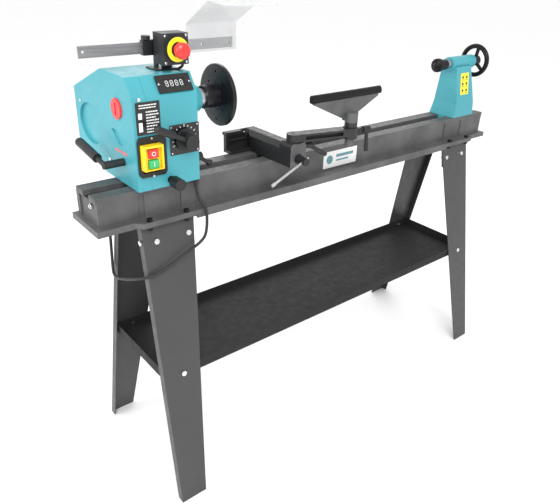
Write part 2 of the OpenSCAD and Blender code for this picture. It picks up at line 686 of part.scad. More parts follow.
// Clamp shaft through the banjo, with its hub at the front
banjo_rod_r = 3.5;
module banjo_shaft() color(black) on_bed() translate([banjo_c, 0, rod_z0]) difference() {
    union() {
        rod_y([0, arm_front - 34, 0], 10, 72 - arm_front + 34);
        rod_y([0, arm_front - 12, 0], 12, 10);
    }
    rotate([0, -24, 0]) rod_x([-40, arm_front - 23, 0], banjo_rod_r + 0.1, 80);
}
// Plain bar handle through the hub
module banjo_lever() color([0.6, 0.6, 0.62]) on_bed() translate([banjo_c, 0, rod_z0]) rotate([0, -24, 0]) {
    rod_x([-108, arm_front - 23, 0], banjo_rod_r, 124);
    rod_x([-114, arm_front - 23, 0], 4.8, 12);
}

// Second arm that swings on the banjo and carries the rest's post, drawn from its pivot
swing_yaw = -13;
arm2_z = arm_z + banjo_h + 0.7;
module at_pivot() { on_bed() translate([banjo_c, swing_y, 0]) rotate([0, 0, swing_yaw]) children(); }
module swing_arm() color([0.14, 0.14, 0.15]) at_pivot() difference() {
    union() {
        translate([0, -17.5, arm2_z]) cube([swing_l, 35, swing_t]);
        rod_z([swing_l, 0, arm2_z - 8], 20, swing_t + 10);
        rod_z([0, 0, arm2_z], 20, swing_t);
        rod_z([0, 0, arm2_z - 30], 6, 40);
    }
    for (y = [-19, 6]) translate([26, y, arm2_z + 5]) cube([swing_l - 58, 13, swing_t - 10]);
    rod_z([swing_l, 0, arm2_z - 12], post_d / 2 + running, 60);
    rod_x([swing_l + 5, 0, arm2_z + 11], 5 + running, 40);
}
module swing_lock_lever() color(black) on_bed() translate([banjo_x + banjo_w, swing_y - 8, lock_screw_z]) {
    rod_x([-12, 0, 0], 4, 14);
    rod_x([0.4, 0, 0], 8, 26);
    translate([19, 0, 0]) rotate([0, 120, 0]) cylinder(h = 74, r1 = 5, r2 = 6.5);
}

// The rest's post and blade stand square to the bed at the end of the swing arm
post_x = banjo_c + swing_l * cos(swing_yaw);
post_y = swing_y + swing_l * sin(swing_yaw);
// Collar clamped on the post, which sets its height and turns with nothing
module post_collar() color([0.3, 0.3, 0.31]) on_bed() translate([post_x, post_y, 0]) difference() {
    rod_z([0, 0, arm2_z + swing_t + 3.4], 17.5, 12);
    rod_z([0, 0, arm2_z], post_d / 2 + running, 60);
}
blade_z = spindle_z + 2;
blade_y = 18;
blade_dx = -5;
neck_z = arm2_z + swing_t + 15.8;
// Post, cast neck and triangular web that carry the bar
module tool_rest() color([0.45, 0.46, 0.47]) on_bed() translate([post_x, post_y, 0]) {
    rod_z([0, 0, arm2_z - 30], post_d / 2, 90);
    rod_z([0, 0, neck_z], 17.5, 26);
    translate([-14, 0, neck_z + 2]) cube([28, blade_y + 3, 24]);
    translate([0, blade_y + 4, 0]) rotate([90, 0, 0]) linear_extrude(8) polygon([
        [-14, neck_z + 6], [14, neck_z + 6], [rest_l / 2 - 12, blade_z - 24], [rest_l / 2 - 16, blade_z - 20.2],
        [6 - rest_l / 2, blade_z - 20.2], [2 - rest_l / 2, blade_z - 24]
    ]);
}
// Rounded steel bar on which the tool slides
module rest_bar() color(black) on_bed() translate([post_x, post_y + blade_y, 0]) along_x([
    [-7, blade_z - 17], [-4, blade_z - 20], [4, blade_z - 20], [7, blade_z - 17], [7, blade_z - 5],
    [5, blade_z - 1.5], [2, blade_z], [-1, blade_z - 0.6], [-5, blade_z - 5], [-7, blade_z - 9]
], blade_dx - rest_l / 2, rest_l);
module post_lock_lever() color(black) at_pivot() translate([swing_l, 0, arm2_z + 11]) {
    rod_x([post_d / 2 + 0.3, 0, 0], 5, 36);
    rod_x([40, 0, 0], 9, 22);
    translate([53, 0, 0]) rotate([172, 0, 0]) cylinder(h = 60, r1 = 4.5, r2 = 6.5);
}

// ---------------------------------------------------------------- tailstock

tail_z = bed_top + 0.3;
crease_z = bed_top + 46;
tail_l = 112;
neck_x = tail_x + 28;
screw_r = 8;
quill_out = 18;

module tailstock_body() color(turquoise) on_bed() difference() {
    union() {
        rod_x([tail_x, 0, spindle_z], barrel_d / 2, barrel_l);
        hull() {
            translate([tail_x + 6, -half_w + 1, tail_z]) cube([tail_l, bed_w - 2, 1]);
            translate([tail_x + 14, -50, crease_z]) cube([98, 96, 1]);
        }
        hull() {
            translate([tail_x + 14, -50, crease_z]) cube([98, 96, 1]);
            translate([tail_x + 8, -30, spindle_z - 12]) cube([82, 60, 4]);
        }
        translate([tail_x + 6, -15, bed_top - way_t + 1]) cube([tail_l, 29, way_t]);
    }
    rod_x([tail_x - 1, 0, spindle_z], quill_d / 2 + running, barrel_l - 12);
    rod_x([tail_x - 1, 0, spindle_z], screw_r + 2 + running, barrel_l + 10);
    rod_z([neck_x + 40, 0, bed_top - 40], 6.2, 60);
    rod_y([neck_x + 40, 5, bed_top + 22], 8 + running, 60);
    rod_y([tail_x + 30, 0, spindle_z], 5 + running, 40);
}
module tailstock_clamp() color([0.35, 0.35, 0.37]) on_bed() difference() {
    union() {
        rod_z([neck_x + 40, 0, bed_top - way_t - 22], 6, 40);
        translate([neck_x, -30, bed_top - way_t - 14.3]) cube([80, 60, 14]);
        translate([neck_x + 40, 0, bed_top - way_t - 22.3]) hex_head(20, 8);
    }
    translate([neck_x + 20, -10, bed_top + 4.5]) cube([40, 20, 30]);
}
// Clamp handle behind the tailstock
module tailstock_lever() color(black) on_bed() translate([neck_x + 40, 0, bed_top + 22]) {
    rod_y([0, 20, 0], 8, 50);
    rod_y([0, 56, 0], 13, 18);
    rotate([0, 30, 0]) {
        rod_z([0, 65, 0], 5, 90);
        translate([0, 65, 92]) sphere(10);
    }
}
module quill() color(chrome) on_bed() difference() {
    rod_x([tail_x - quill_out, 0, spindle_z], quill_d / 2, 130);
    rod_x([tail_x - quill_out - 1, 0, spindle_z], 9, 56);
    rod_x([tail_x + 20, 0, spindle_z], screw_r + running, 100);
}
// Revolving centre: the body sits in the quill's taper and the point turns in it
module live_centre() color(black) on_bed() difference() {
    rotate_x_profile(0, [
        [0, tail_x - 52], [17, tail_x - 52], [17, tail_x - 22], [13, tail_x - quill_out - 0.2],
        [9, tail_x - quill_out - 0.2], [8.6, tail_x + 34], [0, tail_x + 34]
    ]);
    rod_x([tail_x - 60, 0, spindle_z], 6 + running, 40);
}
module centre_point() color([0.2, 0.2, 0.21]) on_bed() rotate_x_profile(0, [
    [0, tail_x - 87], [3, tail_x - 84], [9, tail_x - 74], [21, tail_x - 70], [22, tail_x - 68], [22, tail_x - 56],
    [20, tail_x - 53], [6, tail_x - 53], [6, tail_x - 24], [0, tail_x - 24]
]);
wheel_x = 718;
module handwheel() color(black) on_bed() {
    rod_x([tail_x + 35, 0, spindle_z], screw_r, wheel_x - tail_x - 35);
    rod_x([tail_x + barrel_l + 0.3, 0, spindle_z], 18, wheel_x - tail_x - barrel_l + 10);
    rod_x([wheel_x + 9, 0, spindle_z], 11, 8);
    translate([wheel_x, 0, spindle_z]) rotate([0, 90, 0]) rotate_extrude()
        translate([wheel_d / 2 - 8, 0]) circle(8, $fn = 32);
    for (i = [0 : 2]) translate([wheel_x, 0, spindle_z]) rotate([i * 120 + 10, 0, 0])
        rod_z([0, 0, 12], 6, wheel_d / 2 - 24);
}

// ---------------------------------------------------------------- mains lead

cord_exit = [-494, -66];
gland_r = 5;
// Centre line of the lead, from the gland under the headstock to the coil behind the bed
cord_route = [
    [cord_exit[0], cord_exit[1], 845.8], [-493, -69, 828], [-490, -78, 810], [-486, -90, 799], [-485, -95, 786],
    [-485, -97, 768], [-487, -98, 745], [-493, -98.5, 724], [-507, -99, 711], [-529, -100, 701], [-558, -101, 690],
    [-587, -101.5, 677], [-614, -102, 667], [-640, -101, 660.5], [-662, -92, 655], [-673, -74, 648],
    [-676, -45, 634], [-676, -10, 618], [-673, 25, 602], [-669, 58, 590], [-665, 83, 588], [-660.5, 96, 602],
    [-658.5, 99, 630], [-657.5, 99, 665], [-657, 98, 700], [-656.5, 97, 740], [-656, 96, 775], [-655.5, 93, 797],
    [-654, 83, 808], [-650, 70, 808], [-642, 61, 802], [-625, 58.5, 797.5], [-600, 58.5, 796.4],
    [-560, 58.5, 796.4], [-530, 58.5, 796.4], [-505, 59.5, 797.5], [-478, 65, 803], [-450, 77, 813.5],
    [-425, 88, 822], [-400, 95, 825]
];
cord_sides = 8;
function tangent(p, i) =
    let (a = p[max(i - 1, 0)], b = p[min(i + 1, len(p) - 1)]) (b - a) / norm(b - a);
function across(t) = let (u = abs(t[2]) < 0.8 ? [0, 0, 1] : [1, 0, 0], s = cross(t, u)) s / norm(s);
function ring(c, t, r, n) =
    let (u = across(t), v = cross(u, t)) [for (k = [0 : n - 1]) c + r * (cos(360 * k / n) * u + sin(360 * k / n) * v)];
// Catmull-Rom point between p[i] and p[i + 1]
function blend_point(p, i, s) =
    let (a = p[max(i - 1, 0)], b = p[i], c = p[i + 1], d = p[min(i + 2, len(p) - 1)])
    0.5 * ((2 * b) + (c - a) * s + (2 * a - 5 * b + 4 * c - d) * s * s + (3 * b - a - 3 * c + d) * s * s * s);
function smooth(p, n) = concat(
    [for (i = [0 : len(p) - 2], k = [0 : n - 1]) blend_point(p, i, k / n)], [p[len(p) - 1]]);

module tube(points, r, n) {
    m = len(points);
    polyhedron(
        points = [for (i = [0 : m - 1]) each ring(points[i], tangent(points, i), r, n)],
        faces = concat(
            [[for (k = [0 : n - 1]) k]],
            [for (i = [0 : m - 2], k = [0 : n - 1])
                [i * n + k, (i + 1) * n + k, (i + 1) * n + (k + 1) % n, i * n + (k + 1) % n]],
            [[for (k = [n - 1 : -1 : 0]) (m - 1) * n + k]]
        )
    );
}
module power_cord() color(black) on_bed() tube(smooth(cord_route, 2), cord_d / 2, cord_sides);

// Tapered gland that the lead leaves through
module strain_relief() color(black) on_bed() translate([cord_exit[0], cord_exit[1], 0]) difference() {
    union() {
        rod_z([0, 0, bed_top + 0.2], gland_r, 16);
        translate([0, 0, 846]) cylinder(h = bed_top + 0.2 - 846, r1 = 4.6, r2 = 7);
    }
    rod_z([0, 0, 840], cord_d / 2 + 0.1, 50);
}
coil_c = [-400, 103, 785];
module cord_coil() color(black) on_bed() translate(coil_c) rotate([90, 0, 0]) translate([0, 0, -10])
    rotate_extrude() translate([36, 0]) square([16, 22]);
// Hook on the bed's rear that the coiled lead hangs from
module cord_hook() color(grey_paint) on_bed() {
    rod_y([coil_c[0], 53, coil_c[2] + 30.5], 4.6, 66.5);
    rod_z([coil_c[0], 119.5, coil_c[2] + 25.5], 5, 24);
    translate([coil_c[0] - 12, 53, coil_c[2] + 14]) cube([24, 3, 33]);
}
// Plug at the lead's free end, with the short piece of lead that joins it to the coil
plug_p = [-345, 102, 748];
plug_lead = [[-355.6, 102, 797], [-351, 102, 786], [-347, 102, 774], [-345, 102, 762], [-345, 102, 752]];
module cord_plug() color(black) on_bed() {
    tube(smooth(plug_lead, 2), cord_d / 2, cord_sides);
    translate(plug_p) {
        rod_z([0, 0, -1], 5.5, 13);
        difference() {
            translate([-13, -10, -34]) cube([26, 20, 34]);
            for (side = [-1, 1]) translate([side * 16, -12, -22]) rotate([0, side * 14, 0])
                translate([-4, 0, -14]) cube([8, 24, 38]);
        }
        for (side = [-1, 1]) translate([side * 6.4 - 0.8, -3, -50]) cube([1.6, 6, 17]);
        rod_z([0, 6, -50], 2.4, 17);
    }
}

bed();
leg_front_left();
leg_front_right();
leg_rear_left();
leg_rear_right();
stand_brackets();
shelf();
stand_bolts();
bed_bolts();
cord_hook();
headstock_casting();
headstock_housing();
end_cover();
cover_screws();
spindle_bearings();
spindle();
faceplate();
spindle_pulley();
drive_belt();
motor();
fixed_sheave();
moving_sheave();
speed_lever();
speed_display();
switch_plate();
switch_frame();
start_button();
stop_button();
knockout_cap();
belt_lever();
head_lock_lever();
locating_pin();
estop_bracket();
estop_box();
estop_button();
guard_clamp();
guard_knob();
guard_bar();
guard_shield();
banjo_clamp();
banjo();
banjo_shaft();
banjo_lever();
swing_arm();
swing_lock_lever();
post_collar();
tool_rest();
rest_bar();
post_lock_lever();
tailstock_body();
tailstock_clamp();
tailstock_lever();
quill();
live_centre();
centre_point();
handwheel();
power_cord();
strain_relief();
cord_coil();
cord_plug();
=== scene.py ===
"""Looks of a floor-standing wood lathe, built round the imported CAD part. Metres, in the CAD frame."""

import math
import random

import bmesh
import bpy
from mathutils import Matrix, Vector


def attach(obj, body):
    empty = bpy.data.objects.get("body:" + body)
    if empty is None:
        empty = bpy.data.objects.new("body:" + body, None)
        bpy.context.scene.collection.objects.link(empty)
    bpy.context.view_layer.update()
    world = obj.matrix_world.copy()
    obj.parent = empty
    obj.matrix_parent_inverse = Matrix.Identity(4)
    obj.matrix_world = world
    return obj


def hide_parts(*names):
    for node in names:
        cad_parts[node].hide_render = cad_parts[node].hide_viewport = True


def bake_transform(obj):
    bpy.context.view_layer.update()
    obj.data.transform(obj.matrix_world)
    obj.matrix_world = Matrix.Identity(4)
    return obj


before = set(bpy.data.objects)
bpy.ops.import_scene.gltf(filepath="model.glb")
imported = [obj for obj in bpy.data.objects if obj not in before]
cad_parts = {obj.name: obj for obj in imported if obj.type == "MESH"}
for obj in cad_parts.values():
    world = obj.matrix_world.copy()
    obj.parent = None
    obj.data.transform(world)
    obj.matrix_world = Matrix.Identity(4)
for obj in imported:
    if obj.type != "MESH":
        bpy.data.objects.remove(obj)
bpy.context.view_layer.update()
SCENE = bpy.context.scene
BED_Y = -0.011  # where the bed's centre line lies in the frame


def mm(*values):
    """A point or size given in millimetres, in metres."""
    return Vector([v / 1000 for v in values])


def on_bed(x, y, z):
    """A point given in millimetres about the bed's centre line."""
    return mm(x, y, z) + Vector((0, BED_Y, 0))


# ---------------------------------------------------------------- camera and stage

CAMERA_AT = mm(-1185.6, -1208.6, 1361.8)
CAMERA_TURN = math.radians(40.59)
CAMERA_DIP = math.radians(27.72)
CAMERA_ROLL = math.radians(2.43)
LENS_MM = 36.86
SENSOR_MM = 36


def add_camera():
    forward = Vector((
        math.sin(CAMERA_TURN) * math.cos(CAMERA_DIP),
        math.cos(CAMERA_TURN) * math.cos(CAMERA_DIP),
        -math.sin(CAMERA_DIP),
    ))
    level = Vector((math.cos(CAMERA_TURN), -math.sin(CAMERA_TURN), 0))
    upright = level.cross(forward)
    right = math.cos(CAMERA_ROLL) * level + math.sin(CAMERA_ROLL) * upright
    up = math.cos(CAMERA_ROLL) * upright - math.sin(CAMERA_ROLL) * level
    data = bpy.data.cameras.new("camera")
    data.lens = LENS_MM
    data.sensor_width = SENSOR_MM
    camera = bpy.data.objects.new("camera", data)
    camera.matrix_world = Matrix.Translation(CAMERA_AT) @ Matrix((right, up, -forward)).transposed().to_4x4()
    SCENE.collection.objects.link(camera)
    SCENE.camera = camera


def add_light(name, at, target, size, power):
    data = bpy.data.lights.new(name, "AREA")
    data.shape = "RECTANGLE"
    data.size, data.size_y = size
    data.energy = power
    light = bpy.data.objects.new(name, data)
    light.location = at
    light.rotation_euler = (Vector(target) - Vector(at)).to_track_quat("-Z", "Y").to_euler()
    SCENE.collection.objects.link(light)


def add_stage():
    world = bpy.data.worlds.new("studio")
    world.use_nodes = True
    background = world.node_tree.nodes["Background"].inputs
    background["Color"].default_value = (1.0, 1.0, 1.0, 1)
    background["Strength"].default_value = 1.0
    SCENE.world = world
    SCENE.view_settings.view_transform = "Standard"
    add_light("key", (-1.6, -2.6, 3.4), (0, 0, 0.7), (2.6, 1.8), 105)
    add_light("fill", (-3.2, 0.6, 1.8), (-0.5, 0, 0.8), (1.8, 1.8), 35)
    add_light("rim", (1.8, 2.6, 2.6), (0, 0, 0.8), (2.4, 1.2), 22)
    bpy.ops.mesh.primitive_plane_add(size=200)
    floor = bpy.context.object
    floor.name = "floor"
    floor.data.materials.append(studio_floor())


# ---------------------------------------------------------------- materials

class Shader:
    """A node material under construction, on object coordinates."""

    def __init__(self, name):
        self.material = bpy.data.materials.new(name)
        self.material.use_nodes = True
        self.tree = self.material.node_tree
        self.surface = self.tree.nodes["Principled BSDF"]
        self.place = self.node("ShaderNodeTexCoord").outputs["Object"]

    def node(self, kind, inputs=(), **settings):
        made = self.tree.nodes.new(kind)
        for key, value in settings.items():
            setattr(made, key, value)
        for socket, value in dict(inputs).items():
            if isinstance(value, bpy.types.NodeSocket):
                self.tree.links.new(value, made.inputs[socket])
            else:
                made.inputs[socket].default_value = value
        return made

    def stretched(self, scale):
        return self.node("ShaderNodeMapping", {"Vector": self.place, "Scale": scale}).outputs["Vector"]

    def noise(self, scale, detail=3, place=None):
        inputs = {"Vector": place or self.place, "Scale": scale, "Detail": detail}
        return self.node("ShaderNodeTexNoise", inputs).outputs["Fac"]

    def noise_along(self, value, scale, detail):
        """Noise that changes only with one value."""
        inputs = {"W": value, "Scale": scale, "Detail": detail}
        return self.node("ShaderNodeTexNoise", inputs, noise_dimensions="1D").outputs["Fac"]

    def cells(self, scale, smooth=0.4):
        inputs = {"Vector": self.place, "Scale": scale, "Smoothness": smooth}
        return self.node("ShaderNodeTexVoronoi", inputs, feature="SMOOTH_F1").outputs["Distance"]

    def ramp(self, value, low, high, at=(0.35, 0.65)):
        """value, mapped to the colours low to high between two positions."""
        made = self.node("ShaderNodeValToRGB", {"Fac": value})
        for stop, position, colour in zip(made.color_ramp.elements, at, (low, high)):
            stop.position = position
            stop.color = (*colour, 1) if hasattr(colour, "__len__") else (colour, colour, colour, 1)
        return made.outputs["Color"]

    def multiply(self, a, b):
        return self.node("ShaderNodeMath", {0: a, 1: b}, operation="MULTIPLY").outputs[0]

    def add(self, a, b):
        return self.node("ShaderNodeMath", {0: a, 1: b}, operation="ADD").outputs[0]

    def wear_and_highlight_edges(self, radius):
        """1 along sharp edges and 0 on flats, from how far a rounded normal leans off the true one."""
        normal = self.node("ShaderNodeNewGeometry").outputs["Normal"]
        inputs = {0: self.rounded_normal(radius), 1: normal}
        lean = self.node("ShaderNodeVectorMath", inputs, operation="DOT_PRODUCT").outputs["Value"]
        return self.ramp(lean, 1.0, 0.0, (0.90, 0.995))

    def rounded_normal(self, radius):
        return self.node("ShaderNodeBevel", {"Radius": radius}, samples=4).outputs["Normal"]

    def bump(self, height, strength, distance, round_edges=0):
        inputs = {"Height": height, "Strength": strength, "Distance": distance}
        if round_edges:
            inputs["Normal"] = self.rounded_normal(round_edges)
        self.link(self.node("ShaderNodeBump", inputs).outputs["Normal"], "Normal")

    def link(self, output, socket):
        self.tree.links.new(output, self.surface.inputs[socket])

    def mix(self, fraction, a, b):
        made = self.node("ShaderNodeMix", data_type="RGBA")
        for socket, value in ((0, fraction), (6, a), (7, b)):
            if isinstance(value, bpy.types.NodeSocket):
                self.tree.links.new(value, made.inputs[socket])
            else:
                made.inputs[socket].default_value = (*value, 1)
        return made.outputs[2]

    def set(self, **values):
        for name, value in values.items():
            self.surface.inputs[name.replace("_", " ")].default_value = value
        return self.material


PAINT_EDGE = 0.0010
CAST_EDGE = 0.0012


def shade(colour, factor):
    return tuple(min(1, c * factor) for c in colour)


def powder_coat(name, colour, rough, grain=1400, coat=0.15, blotch=3, sheen=0.5):
    """Sprayed and baked paint: a fine orange peel, slight blotches, and a paler rub along the edges."""
    s = Shader(name)
    patches = s.ramp(s.noise(blotch, 4), shade(colour, 0.93), shade(colour, 1.06))
    wear_and_edge_highlight = s.multiply(s.wear_and_highlight_edges(PAINT_EDGE), s.noise(90, 3))
    rubbed = s.mix(wear_and_edge_highlight, patches, shade(colour, 1.8))
    s.link(rubbed, "Base Color")
    s.link(s.ramp(s.noise(45, 4), rough - 0.07, rough + 0.07), "Roughness")
    s.bump(s.noise(grain, 2), 0.35, 0.00012, round_edges=PAINT_EDGE)
    return s.set(Coat_Weight=coat, Coat_Roughness=0.3, Specular_IOR_Level=sheen)


def machined(name, colour, rough, streaks):
    """Turned or ground steel: fine streaks across or along the piece, with a trace of oil."""
    s = Shader(name)
    lines = s.noise(1, 3, s.stretched(streaks))
    s.link(s.ramp(lines, shade(colour, 0.80), shade(colour, 1.12)), "Base Color")
    s.link(s.ramp(s.noise(60, 4), rough - 0.06, rough + 0.10), "Roughness")
    s.bump(lines, 0.4, 0.00003, round_edges=0.0005)
    return s.set(Metallic=1.0)


def turned(name, colour, rough, axis_at, rings=900):
    """Painted disc turned on a lathe: fine grooves round an axis along X, with a few broader steps."""
    s = Shader(name)
    offset = {"Vector": s.place, "Location": tuple(-v for v in axis_at)}
    centred = s.node("ShaderNodeMapping", offset).outputs["Vector"]
    flat = s.node("ShaderNodeVectorMath", {0: centred, 1: (0, 1, 1)}, operation="MULTIPLY").outputs["Vector"]
    radius = s.node("ShaderNodeVectorMath", {0: flat}, operation="LENGTH").outputs["Value"]
    fine = s.noise_along(radius, rings, 3)
    broad = s.noise_along(radius, rings / 8, 1)
    s.link(s.ramp(broad, shade(colour, 0.7), shade(colour, 2.2)), "Base Color")
    s.link(s.ramp(s.noise(45, 4), rough - 0.06, rough + 0.08), "Roughness")
    s.bump(s.add(fine, broad), 0.5, 0.00025, round_edges=PAINT_EDGE)
    return s.set(Coat_Weight=0.1, Coat_Roughness=0.25, Specular_IOR_Level=0.35)


def cast_iron(name, colour, rough=0.5, depth=0.0005):
    """Painted casting: a sandy skin with soft cells, and edges painted paler, partly rubbed paint and partly
    a painted highlight.
    """
    s = Shader(name)
    patches = s.ramp(s.noise(12, 5), shade(colour, 0.8), shade(colour, 1.25))
    # edges painted much paler: partly rubbed paint, partly a painted highlight along the edges
    wear_and_edge_highlight = s.multiply(s.wear_and_highlight_edges(CAST_EDGE), s.noise(70, 3))
    s.link(s.mix(wear_and_edge_highlight, patches, shade(colour, 2.6)), "Base Color")
    s.link(s.ramp(s.noise(80, 4), rough - 0.1, rough + 0.1), "Roughness")
    s.bump(s.add(s.cells(420), s.noise(900, 3)), 0.35, depth, round_edges=CAST_EDGE)
    return s.set(Metallic=0.0)


def moulded(name, colour, rough=0.42, grain=900, depth=0.00008, coat=0.0):
    """Injection-moulded plastic with a fine spark-eroded grain and greasy patches."""
    s = Shader(name)
    s.link(s.ramp(s.noise(25, 4), shade(colour, 0.9), shade(colour, 1.12)), "Base Color")
    s.link(s.ramp(s.noise(35, 4), rough - 0.08, rough + 0.08), "Roughness")
    s.bump(s.noise(grain, 2), 0.3, depth, round_edges=0.0008)
    return s.set(Coat_Weight=coat, Coat_Roughness=0.12)


def rubber(name, colour=(0.018, 0.018, 0.019)):
    s = Shader(name)
    s.link(s.ramp(s.noise(120, 4), shade(colour, 0.8), shade(colour, 1.5)), "Base Color")
    s.link(s.ramp(s.noise(60, 3), 0.48, 0.66), "Roughness")
    s.bump(s.noise(700, 3), 0.25, 0.00008)
    return s.set(Specular_IOR_Level=0.4)


def clear_sheet(name):
    """Clear acrylic, a little milky, with fine scratches."""
    s = Shader(name)
    s.link(s.ramp(s.noise(8, 5), (0.50, 0.51, 0.52), (0.60, 0.61, 0.62)), "Base Color")
    s.link(s.ramp(s.noise(1, 4, s.stretched((900, 60, 60))), 0.05, 0.22), "Roughness")
    return s.set(Alpha=0.38, IOR=1.49, Specular_IOR_Level=0.6)


def printed(name, colour, rough=0.35):
    """Vinyl label or printed plate with a faint print mottle."""
    s = Shader(name)
    s.link(s.ramp(s.noise(260, 3), shade(colour, 0.94), shade(colour, 1.04)), "Base Color")
    s.link(s.ramp(s.noise(50, 3), rough - 0.06, rough + 0.08), "Roughness")
    return s.set(Coat_Weight=0.2, Coat_Roughness=0.2)


def glowing(name, colour, strength):
    s = Shader(name)
    s.link(s.ramp(s.noise(500, 2), shade(colour, 0.9), colour), "Base Color")
    return s.set(Emission_Color=(*colour, 1), Emission_Strength=strength, Roughness=0.4)


def studio_floor():
    s = Shader("studio_floor")
    s.link(s.ramp(s.noise(3, 3), (0.975, 0.975, 0.975), (0.985, 0.985, 0.985)), "Base Color")
    return s.set(Roughness=0.7)


TURQUOISE = (0.060, 0.335, 0.390)
GREY = (0.047, 0.047, 0.048)
# the grey paint made darker for the shelf: painted shade, where the shelf lies under the bed
SHADED_SHELF_GREY = (0.022, 0.022, 0.023)
BLACK = (0.004, 0.004, 0.005)
SPINDLE_AT = (0, BED_Y, 1.040)

LOOKS = {
    "turquoise": powder_coat("turquoise_paint", TURQUOISE, 0.40, grain=900, coat=0.12, blotch=5, sheen=0.35),
    "grey": powder_coat("grey_paint", GREY, 0.46, grain=1600, coat=0.08, sheen=0.4),
    # darker copy of the grey paint: painted shade on the shelf under the bed
    "shelf": powder_coat("shaded_shelf_paint", SHADED_SHELF_GREY, 0.60, grain=1600, coat=0.0, sheen=0.15),
    "bed": cast_iron("bed_paint", (0.078, 0.078, 0.078), depth=0.0004),
    "iron": cast_iron("dark_iron", (0.014, 0.014, 0.015), rough=0.42),
    "rest": cast_iron("grey_iron", (0.085, 0.086, 0.088)),
    "black": powder_coat("black_paint", BLACK, 0.36, grain=1200, coat=0.05, sheen=0.2),
    "disc": turned("turned_black_paint", BLACK, 0.32, SPINDLE_AT),
    "plastic": moulded("black_plastic", (0.009, 0.009, 0.010), 0.46),
    "box": moulded("box_plastic", (0.014, 0.014, 0.016), 0.5, 700, 0.00012),
    "yellow": moulded("yellow_plastic", (0.90, 0.62, 0.01), 0.35, coat=0.3),
    "red": moulded("red_plastic", (0.72, 0.022, 0.020), 0.32, coat=0.35),
    "green": moulded("green_plastic", (0.02, 0.42, 0.13), 0.32, coat=0.35),
    "steel": machined("ground_steel", (0.50, 0.50, 0.52), 0.30, (40, 900, 900)),
    "bar": machined("galvanised_bar", (0.30, 0.305, 0.315), 0.38, (14, 500, 500)),
    "chrome": machined("bright_zinc", (0.80, 0.80, 0.82), 0.16, (300, 300, 300)),
    "alloy": machined("turned_alloy", (0.62, 0.62, 0.64), 0.32, (900, 60, 60)),
    "shield": clear_sheet("clear_acrylic"),
    "rubber": rubber("black_rubber"),
    "white": printed("white_print", (0.80, 0.80, 0.80)),
    "ink": printed("black_print", (0.008, 0.008, 0.009), 0.3),
    "yellow_print": printed("yellow_print", (0.88, 0.76, 0.02)),
    "mark": printed("grey_print", (0.10, 0.25, 0.29)),
    "red_print": printed("red_print", (0.75, 0.10, 0.09)),
    "digits": glowing("lit_digits", (0.80, 0.83, 0.85), 0.25),
}

NODE_LOOKS = {
    "turquoise": "headstock_housing end_cover tailstock_body",
    "grey": "leg_front_left leg_front_right leg_rear_left leg_rear_right stand_brackets cord_hook",
    "shelf": "shelf",
    "bed": "bed headstock_casting",
    "iron": "banjo banjo_clamp swing_arm post_collar tailstock_clamp motor",
    "rest": "tool_rest",
    "black": "bed_bolts rest_bar live_centre centre_point handwheel",
    "plastic": "speed_lever speed_display switch_plate belt_lever head_lock_lever locating_pin guard_knob"
               " banjo_shaft guard_clamp estop_bracket swing_lock_lever post_lock_lever tailstock_lever"
               " cord_plug",
    "disc": "faceplate",
    "box": "estop_box",
    "yellow": "switch_frame",
    "red": "stop_button knockout_cap estop_button",
    "green": "start_button",
    "steel": "spindle quill banjo_lever spindle_bearings",
    "bar": "guard_bar",
    "chrome": "stand_bolts cover_screws",
    "alloy": "spindle_pulley fixed_sheave moving_sheave",
    "shield": "guard_shield",
    "rubber": "drive_belt strain_relief",
}


def paint_nodes():
    for look, names in NODE_LOOKS.items():
        for name in names.split():
            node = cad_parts[name]
            node.data.materials.clear()
            node.data.materials.append(LOOKS[look])


# ---------------------------------------------------------------- shape helpers

def piece(name, mesh, look, body):
    made = bpy.data.objects.new(name, mesh)
    SCENE.collection.objects.link(made)
    mesh.materials.append(LOOKS[look])
    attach(made, body)
    return made


def tube_mesh(name, points, radius, sides):
    """A round tube along points, with closed ends and a frame that doesn't twist."""
    mesh = bpy.data.meshes.new(name)
    bm = bmesh.new()
    rings = []
    across = None
    for i, point in enumerate(points):
        ahead = (points[min(i + 1, len(points) - 1)] - points[max(i - 1, 0)]).normalized()
        if across is None:
            across = ahead.orthogonal().normalized()
        across = (across - ahead * across.dot(ahead)).normalized()
        other = ahead.cross(across)
        rings.append([
            bm.verts.new(point + radius * (math.cos(a) * across + math.sin(a) * other))
            for a in [2 * math.pi * k / sides for k in range(sides)]
        ])
    for one, two in zip(rings, rings[1:]):
        for k in range(sides):
            bm.faces.new((one[k], one[(k + 1) % sides], two[(k + 1) % sides], two[k]))
    bm.faces.new(rings[0][::-1])
    bm.faces.new(rings[-1])
    bm.to_mesh(mesh)
    bm.free()
    for face in mesh.polygons:
        face.use_smooth = True
    return mesh


def smooth_path(points, steps):
    """Catmull-Rom points through the given ones, as part.scad works them out."""
    out = []
    for i in range(len(points) - 1):
        a, b, c, d = (points[max(0, min(i + k, len(points) - 1))] for k in (-1, 0, 1, 2))
        for k in range(steps):
            s = k / steps
            out.append(0.5 * (2 * b + (c - a) * s + (2 * a - 5 * b + 4 * c - d) * s * s
                              + (3 * b - a - 3 * c + d) * s ** 3))
    return out + [points[-1]]


def rectangle(width, height, corner):
    """Outline of a rounded rectangle about the origin, in millimetres."""
    points = []
    for k, (sx, sy) in enumerate(((1, 1), (-1, 1), (-1, -1), (1, -1))):
        for step in range(4):
            a = math.radians(90 * k + 30 * step)
            points.append((sx * (width / 2 - corner) + corner * math.cos(a),
                           sy * (height / 2 - corner) + corner * math.sin(a)))
    return points


def circle(radius, sides=40):
    return [(radius * math.cos(2 * math.pi * k / sides), radius * math.sin(2 * math.pi * k / sides))
            for k in range(sides)]


def moved(outline, dx, dy):
    return [(x + dx, y + dy) for x, y in outline]


def turned_by(outline, degrees):
    a = math.radians(degrees)
    return [(x * math.cos(a) - y * math.sin(a), x * math.sin(a) + y * math.cos(a)) for x, y in outline]


